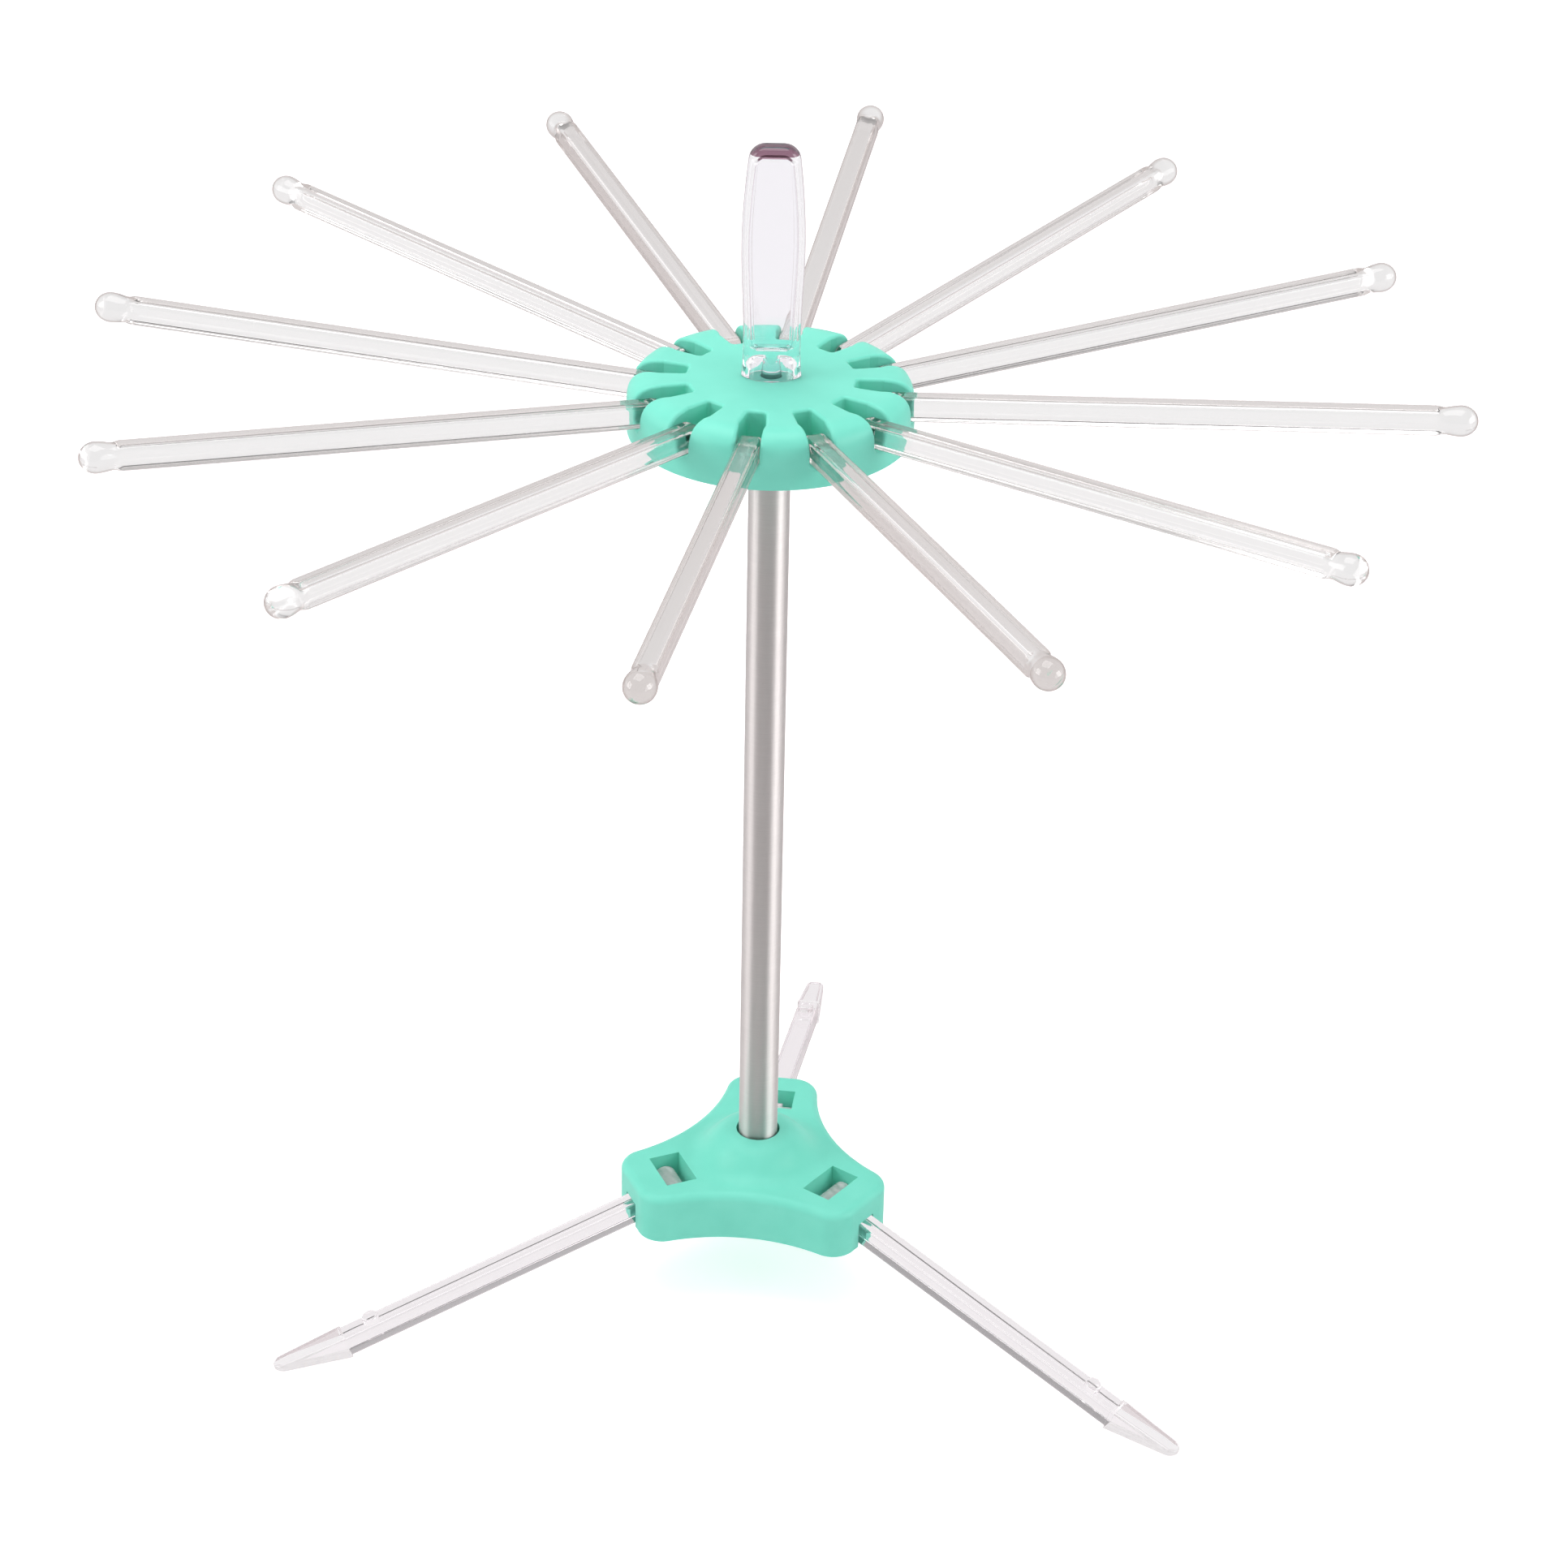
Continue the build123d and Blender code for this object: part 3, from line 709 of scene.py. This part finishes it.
def copy_of(piece, name):
    """A copy with its own mesh."""
    other = piece.copy()
    other.data = piece.data.copy()
    other.name = name
    bpy.context.scene.collection.objects.link(other)
    return other


def finish_piece(piece, material, body, node):
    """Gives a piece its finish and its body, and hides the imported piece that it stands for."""
    piece.data.materials.clear()
    piece.data.materials.append(material)
    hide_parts(node)
    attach(piece, body)


def face_count(piece):
    """How many faces a piece has."""
    return len(piece.data.polygons)


# %% [markdown]
# ## Arms
# An arm is one clear moulding: a slim bar, round at its root where it turns on
# two short pins, and drawn out at the far end into a round button. It could be
# lathed and then flattened, but the bar is square for most of its length. So it
# starts as a box with bevelled edges, and its end face is extruded ring by ring
# while it is made rounder. One arm is made and then copied twelve times.

# %% Arm bar
arm_half_width = 3.8 * MM
arm_half_height = 4.1 * MM
arm_neck = 175.5 * MM
arm_shoulder = 183.5 * MM
arm_end = 188.9 * MM
arm_edge = 1.4 * MM
button_radius = 5.1 * MM
cuts_in_width = [-1.6 * MM, -0.8 * MM, 0, 0.8 * MM, 1.6 * MM]
cuts_in_height = [-1.8 * MM, -0.9 * MM, 0, 0.9 * MM, 1.8 * MM]


def arm_bar():
    """The bar along +X, from its round root to its neck, left in edit mode for the tip."""
    length = arm_neck + arm_half_height
    bar = block("arm", (length / 2 - arm_half_height, 0, 0),
                (length, 2 * arm_half_width, 2 * arm_half_height))
    edit(bar)
    choose(bar, "edges", lambda at, edge: at.x < 0 and is_along(edge, 1))
    bevel(0.99 * arm_half_height, 10)
    side = arm_half_width - 0.1 * MM
    choose(bar, "edges", lambda at, edge: abs(at.y) > side and at.x < arm_neck - 0.1 * MM)
    bevel(arm_edge, 5)
    cut_across(bar, 1, cuts_in_width)
    cut_across(bar, 2, cuts_in_height)
    return bar


arm = arm_bar()
print("arm bar", round((arm_neck + arm_half_height) / MM, 1), "mm long")

# %% [markdown]
# The tip swells from the bar into a round button with a blunt nose. A ball could
# be joined on, but a seam would show inside clear plastic. So the end face is
# drawn out in rings: the first ones swell gently, and the last ones close over
# the nose as on a dome. Then the two pins, which are one bar through the root,
# are joined on.

# %% Arm tip
neck_reach = 4.05 * MM
swell_rings = 8
nose_rings = 10


def arm_tip(bar):
    """Swells the bar's end to a button and closes it with a blunt nose."""
    choose(bar, "faces", lambda at, face: at.x > arm_neck - 0.01 * MM)
    last = arm_neck
    for number in range(1, swell_rings + 1):
        part = number / swell_rings
        reach = neck_reach + (button_radius - neck_reach) * eased(part)
        here = arm_neck + part * (arm_shoulder - arm_neck)
        grow(bar, (here - last, 0, 0), (None, reach, reach), roundness=min(1.0, 0.3 * number))
        last = here
    for number in range(1, nose_rings + 1):
        turn = 0.985 * number / nose_rings * pi / 2
        reach = button_radius * cos(turn)
        here = arm_shoulder + (arm_end - arm_shoulder) * sin(turn)
        grow(bar, (here - last, 0, 0), (None, reach, reach), roundness=1.0)
        last = here
    leave_edit()


arm_tip(arm)
print("arm with its tip", round(arm.dimensions.x / MM, 1), "mm long")

# %% Arm pins
arm_pin_radius = 2.0 * MM
arm_pin_span = 11.6 * MM


def arm_pins(bar):
    """The two short pins at the root, as one bar across it."""
    bpy.ops.object.select_all(action="DESELECT")
    bpy.ops.mesh.primitive_cylinder_add(vertices=40, radius=arm_pin_radius, depth=arm_pin_span,
                                        rotation=(pi / 2, 0, 0))
    pins = named("pins")
    edit(pins)
    choose(pins, "edges", lambda at, edge: abs(at.y) > arm_pin_span / 2 - 0.1 * MM)
    bevel(0.3 * MM, 2)
    leave_edit()
    combine(bar, pins)


arm_pins(arm)
smooth(arm)
print("arm faces", face_count(arm))

# %% [markdown]
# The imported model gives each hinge's place, so an arm is turned to point away
# from the column there and lifted by its small rise. Each copy gets its own mesh,
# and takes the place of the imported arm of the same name.

# %% Twelve arms
arm_rise = radians(3.73)


def hinge_matrix(joint_name, tilt):
    """From a piece drawn along +X from its hinge to its place on the rack."""
    x, y, z = joints[joint_name]["pos_m"]
    turn = Matrix.Rotation(atan2(y, x), 4, "Z")
    return Matrix.Translation((x, y, z)) @ turn @ Matrix.Rotation(tilt, 4, "Y")


for name in arm_names:
    piece = copy_of(arm, name + "_clear")
    place_piece(piece, hinge_matrix(name + "_fold", -arm_rise))
    finish_piece(piece, clear_arm, name, name)
bpy.data.objects.remove(arm)
print("arms placed", len(arm_names))

# %% [markdown]
# ## Legs
# A leg is a clear square bar with a round hinge barrel inside the base, a small
# nub on its back near the foot, and a foot that is a little wider and cut flat
# along the floor. Each of these is a simple form made on its own, and they are
# then joined into one solid, because clear plastic shows every inner wall that
# is left behind.

# %% Leg bar, barrel and nub
leg_half = 4.1 * MM
leg_slope = radians(15.2)
leg_edge = 1.1 * MM
heel = 129.5 * MM
foot_end = 156.5 * MM
barrel_radius = 4.5 * MM
barrel_length = 17.4 * MM
leg_pin_radius = 2.25 * MM
leg_pin_span = 23.2 * MM
nub_radius = 3.0 * MM
nub_place = 118.6 * MM
nub_top = leg_half + 2.4 * MM


def leg_bar():
    """The square bar, with its long edges rounded."""
    bar = block("leg", (heel / 2 + 1 * MM, 0, 0), (heel + 2 * MM, 2 * leg_half, 2 * leg_half))
    edit(bar)
    choose(bar, "edges", lambda at, edge: is_along(edge, 0))
    bevel(leg_edge, 5)
    leave_edit()
    return bar


def turned_bar(name, radius, length, rounding, direction, place=(0, 0, 0)):
    """A round bar along Y or Z, with rounded ends."""
    bpy.ops.object.select_all(action="DESELECT")
    axis = {"Y": 1, "Z": 2}[direction]
    turn = {"Y": (pi / 2, 0, 0), "Z": (0, 0, 0)}[direction]
    bpy.ops.mesh.primitive_cylinder_add(vertices=48, radius=radius, depth=length, rotation=turn,
                                        location=place)
    bar = named(name)
    end = length / 2 - 0.01 * MM
    edit(bar)
    choose(bar, "edges", lambda at, edge: abs(at[axis] - place[axis]) > end)
    bevel(rounding, 4)
    leave_edit()
    return bar


leg = leg_bar()
combine(leg, turned_bar("barrel", barrel_radius, barrel_length, 0.5 * MM, "Y"))
combine(leg, turned_bar("pins", leg_pin_radius, leg_pin_span, 0.3 * MM, "Y"))
combine(leg, turned_bar("nub", nub_radius, nub_top, 0.8 * MM, "Z", (nub_place, 0, nub_top / 2)))
print("leg faces", face_count(leg))

# %% [markdown]
# The foot is a block that tapers to a round toe, with a shallow scoop on top for
# a thumb. Its sole lies along the floor while the leg slopes. The angle could be
# worked out, but it is simpler to make the block too deep, tilt the whole leg to
# its slope, and cut it off flat at the floor.

# %% Leg foot
foot_width = 9.0 * MM
foot_top = leg_half + 0.4 * MM
foot_depth = 14 * MM
toe_half_width = 3.3 * MM
toe_rounding = 3.1 * MM
scoop_border = 0.7 * MM
scoop_depth = 0.5 * MM


def leg_foot():
    """A tapered block with a round toe and a shallow thumb scoop on top."""
    length = foot_end - heel
    foot = block("foot", (heel + length / 2, 0, (foot_top - foot_depth) / 2),
                 (length, foot_width, foot_top + foot_depth))
    edit(foot)
    choose(foot, "faces", lambda at, face: face.normal.x > 0.9)
    resize_to(foot, (None, toe_half_width, None))
    choose(foot, "edges", lambda at, edge: at.x > foot_end - 0.01 * MM and is_along(edge, 2))
    bevel(toe_rounding, 8)
    above = foot_top - 0.01 * MM
    choose(foot, "edges", lambda at, edge: at.z > above)
    bevel(1.0 * MM, 4)
    choose(foot, "faces", lambda at, face: at.z > above and face.normal.z > 0.99)
    bpy.ops.mesh.inset(thickness=scoop_border)
    bpy.ops.transform.translate(value=(0, 0, -scoop_depth))
    leave_edit()
    return foot


def cut_at_floor(piece):
    """Cuts away what is below the floor and closes the cut."""
    edit(piece)
    bpy.ops.mesh.select_all(action="SELECT")
    bpy.ops.mesh.bisect(plane_co=(0, 0, 0), plane_no=(0, 0, 1), clear_inner=True, use_fill=True)
    leave_edit()


combine(leg, leg_foot())
hinge_height = joints["leg_1_fold"]["pos_m"][2]
place_piece(leg, Matrix.Translation((0, 0, hinge_height)) @ Matrix.Rotation(leg_slope, 4, "Y"))
cut_at_floor(leg)
smooth(leg)
print("leg faces with its foot", face_count(leg))
print("lowest point", round(min(vert.co.z for vert in leg.data.vertices), 5))

# %% [markdown]
# The three legs are copies of this one, turned to their hinges. The barrel's
# faces get the ribbed finish. They could be a piece of their own, but then an
# inner wall would show, so they are found by their distance from the hinge.

# %% Three legs
def is_on_barrel(face, hinge, angle):
    """True for a face of the hinge barrel, away from the bar and the pins."""
    spot = Matrix.Rotation(-angle, 3, "Z") @ (face.center - hinge)
    from_axis = (spot.x ** 2 + spot.z ** 2) ** 0.5
    off_pins = from_axis > leg_pin_radius + 0.15 * MM
    on_barrel = from_axis < barrel_radius + 0.1 * MM and abs(spot.y) < barrel_length / 2 + 0.1 * MM
    return off_pins and on_barrel and spot.x < leg_half - 0.1 * MM


for name in leg_names:
    x, y, z = joints[name + "_fold"]["pos_m"]
    piece = copy_of(leg, name + "_clear")
    place_piece(piece, Matrix.Translation((x, y, 0)) @ Matrix.Rotation(atan2(y, x), 4, "Z"))
    finish_piece(piece, clear_leg, name, name)
    piece.data.materials.append(ribbed_clear)
    hinge = Vector((x, y, z))
    barrel_faces = [face for face in piece.data.polygons if is_on_barrel(face, hinge, atan2(y, x))]
    for face in barrel_faces:
        face.material_index = 1
    print(name, "barrel faces", len(barrel_faces))
bpy.data.objects.remove(leg)
print("legs placed", len(leg_names))

# %% [markdown]
# ## Wand
# The wand is a thin clear rod under a flat, hollow grip. The grip flares into an
# oval foot that stands on the head. A slab with round ends is drawn up to the
# grip's top and down to the foot in rings, each with its own width. It could be
# a stretched cylinder, but then the gentle waist and the tight top corners would
# be lost. A second, smaller form is then cut out of it, which gives the thin
# walls and the bright line at the hollow's floor.

# %% Grip outline
grip_half_depth = 3.6 * MM
foot_rise = 9.5 * MM
grip_top = 80.2 * MM
waist_height, waist_half = 12 * MM, 9.4 * MM
wide_height, wide_half = 46 * MM, 10.4 * MM
top_half = 7.9 * MM
grip_corner = 4.5 * MM
grip_crown = 2.2 * MM
wall_rings = 14
rim_rings = 8


def grip_half_width(height):
    """Half the grip's width: narrow at its waist, widest at the middle, narrowest at the top."""
    if height < waist_height:
        return waist_half
    if height < wide_height:
        part = (height - waist_height) / (wide_height - waist_height)
        return waist_half + (wide_half - waist_half) * eased(part)
    part = (height - wide_height) / (grip_top - wide_height)
    return wide_half - (wide_half - top_half) * part ** 1.8


def rounded_end(height, top, radius):
    """How far a corner of this radius has drawn in at a height below the top."""
    rise = max(0.0, height - (top - radius))
    return radius - (max(0.0, radius ** 2 - rise ** 2)) ** 0.5


def grip_rings(low, top, inset, depth, corner, crown):
    """The heights and half sizes of a form's rings from low to top."""
    heights = [low + (top - corner - low) * number / wall_rings for number in range(1, wall_rings + 1)]
    for number in range(1, rim_rings + 1):
        heights.append(top - corner + corner * sin(0.99 * number / rim_rings * pi / 2))
    rings = []
    for height in heights:
        half = grip_half_width(height) - inset - rounded_end(height, top, corner)
        rings.append((height, half, depth - rounded_end(height, top, crown)))
    return rings


print("grip half width at 30 mm", round(grip_half_width(30 * MM) / MM, 2), "mm")

# %% Grip outside
slab_cuts = (-0.5, -0.34, -0.17, 0, 0.17, 0.34, 0.5)
base_thickness = 0.5 * MM
flare_rings = 8
foot_wider = 0.5 * MM
foot_deeper = 2.5 * MM


def slab(name, half_width, half_depth, low, thickness):
    """A thin slab with round ends, cut so that its faces can be bent, left in edit mode."""
    piece = block(name, (0, 0, low + thickness / 2), (2 * half_width, 2 * half_depth, thickness))
    edit(piece)
    choose(piece, "edges", lambda at, edge: is_along(edge, 2))
    bevel(0.9 * half_depth, 10)
    cut_across(piece, 0, [half_width * part for part in slab_cuts])
    return piece


def draw_up(piece, rings):
    """Extrudes the top face through the rings."""
    last = max(vert.co.z for vert in bmesh.from_edit_mesh(piece.data).verts)
    choose(piece, "faces", lambda at, face: at.z > last - 0.001 * MM)
    for height, half_width, half_depth in rings:
        grow(piece, (0, 0, height - last), (half_width, half_depth, None))
        last = height


def grip_shell():
    """The grip's outside, with its oval foot."""
    shell = slab("grip", waist_half, grip_half_depth, foot_rise, base_thickness)
    rings = grip_rings(foot_rise + base_thickness, grip_top, 0, grip_half_depth, grip_corner, grip_crown)
    draw_up(shell, rings)
    choose(shell, "faces", lambda at, face: at.z < foot_rise + 0.001 * MM and face.normal.z < -0.5)
    last = foot_rise
    for number in range(1, flare_rings + 1):
        part = number / flare_rings
        flare = part ** 1.8
        here = foot_rise * (1 - part)
        halves = (waist_half + foot_wider * flare, grip_half_depth + foot_deeper * flare, None)
        grow(shell, (0, 0, here - last), halves, roundness=0.35 * (number > 3))
        last = here
    choose(shell, "edges", lambda at, edge: at.z < 0.001 * MM)
    bevel(0.4 * MM, 3)
    leave_edit()
    return shell


grip = grip_shell()
print("grip faces outside", face_count(grip))

# %% [markdown]
# The hollow and the bell under the foot are made as the outside is, a little
# smaller, and cut away. Solidify could make even walls instead, but the grip in
# the picture looks thicker at its ends than at its sides.

# %% Grip hollows
# a ring is a height, half a width and half a depth
bell_low = -0.5 * MM
bell_rings = [(2.2 * MM, 7.7 * MM, 4.0 * MM), (4.2 * MM, 7.4 * MM, 3.2 * MM),
              (6.0 * MM, 7.0 * MM, 2.5 * MM), (7.0 * MM, 6.4 * MM, 2.0 * MM),
              (7.4 * MM, 5.4 * MM, 1.3 * MM)]
hollow_low = 9.6 * MM
hollow_floor = [(0.7 * MM, 6.8 * MM, 2.1 * MM), (1.6 * MM, 7.3 * MM, 2.4 * MM)]
hollow_walls_from = hollow_low + 3 * MM
hollow_top = grip_top - 3.4 * MM
end_wall = 1.9 * MM
hollow_half_depth = 2.45 * MM


def foot_hollow():
    """The bell under the grip's foot, open below."""
    bell = slab("bell", 8.0 * MM, 4.6 * MM, bell_low, 1.0 * MM)
    draw_up(bell, bell_rings)
    leave_edit()
    return bell


def grip_hollow():
    """The air inside the grip, with a rounded floor."""
    hollow = slab("hollow", 5.6 * MM, 1.5 * MM, hollow_low, 0.3 * MM)
    rings = [(hollow_low + rise, width, depth) for rise, width, depth in hollow_floor]
    rings += grip_rings(hollow_walls_from, hollow_top, end_wall, hollow_half_depth, 3 * MM, 1.6 * MM)
    draw_up(hollow, rings)
    leave_edit()
    return hollow


combine(grip, grip_hollow(), "DIFFERENCE")
combine(grip, foot_hollow(), "DIFFERENCE")
print("grip faces", face_count(grip))

# %% [markdown]
# The rod is a plain round bar that hangs in the column. It could stay a piece of
# its own, but the real wand is one moulding, so it is joined to the grip. The
# whole wand is then set down on the head and turned a little, as in the picture.
# Last, the faces round the grip's top get a near-black plum, which is painted shade.

# %% Rod
rod_radius = 2.8 * MM
rod_rounding = 1.2 * MM
rod_low = -270.0 * MM
rod_top = 8.2 * MM
rod_middle = (0, 0, (rod_low + rod_top) / 2)
wand_turn = radians(6.7)
wand_place = joints["wand_lift"]["pos_m"]
crown_depth = 2.6 * MM

combine(grip, turned_bar("rod", rod_radius, rod_top - rod_low, rod_rounding, "Z", rod_middle))
smooth(grip)
place_piece(grip, Matrix.Translation(wand_place) @ Matrix.Rotation(wand_turn, 4, "Z"))
grip.name = "wand_clear"
finish_piece(grip, clear_grip, "transfer_wand", "transfer_wand")
grip.data.materials.append(clear_crown)
# the faces of the grip's top get the painted shade
crown_low = wand_place[2] + grip_top - crown_depth
crown_faces = [face for face in grip.data.polygons if face.center.z > crown_low]
for face in crown_faces:
    face.material_index = 1
print("crown faces", len(crown_faces))
print("wand faces", face_count(grip))

# %% [markdown]
# ## Last steps
# The view transform is Standard, so that white stays white and a colour shows as
# it is written. Filmic ones would soften both.

# %% Finish
bpy.context.scene.view_settings.view_transform = "Standard"
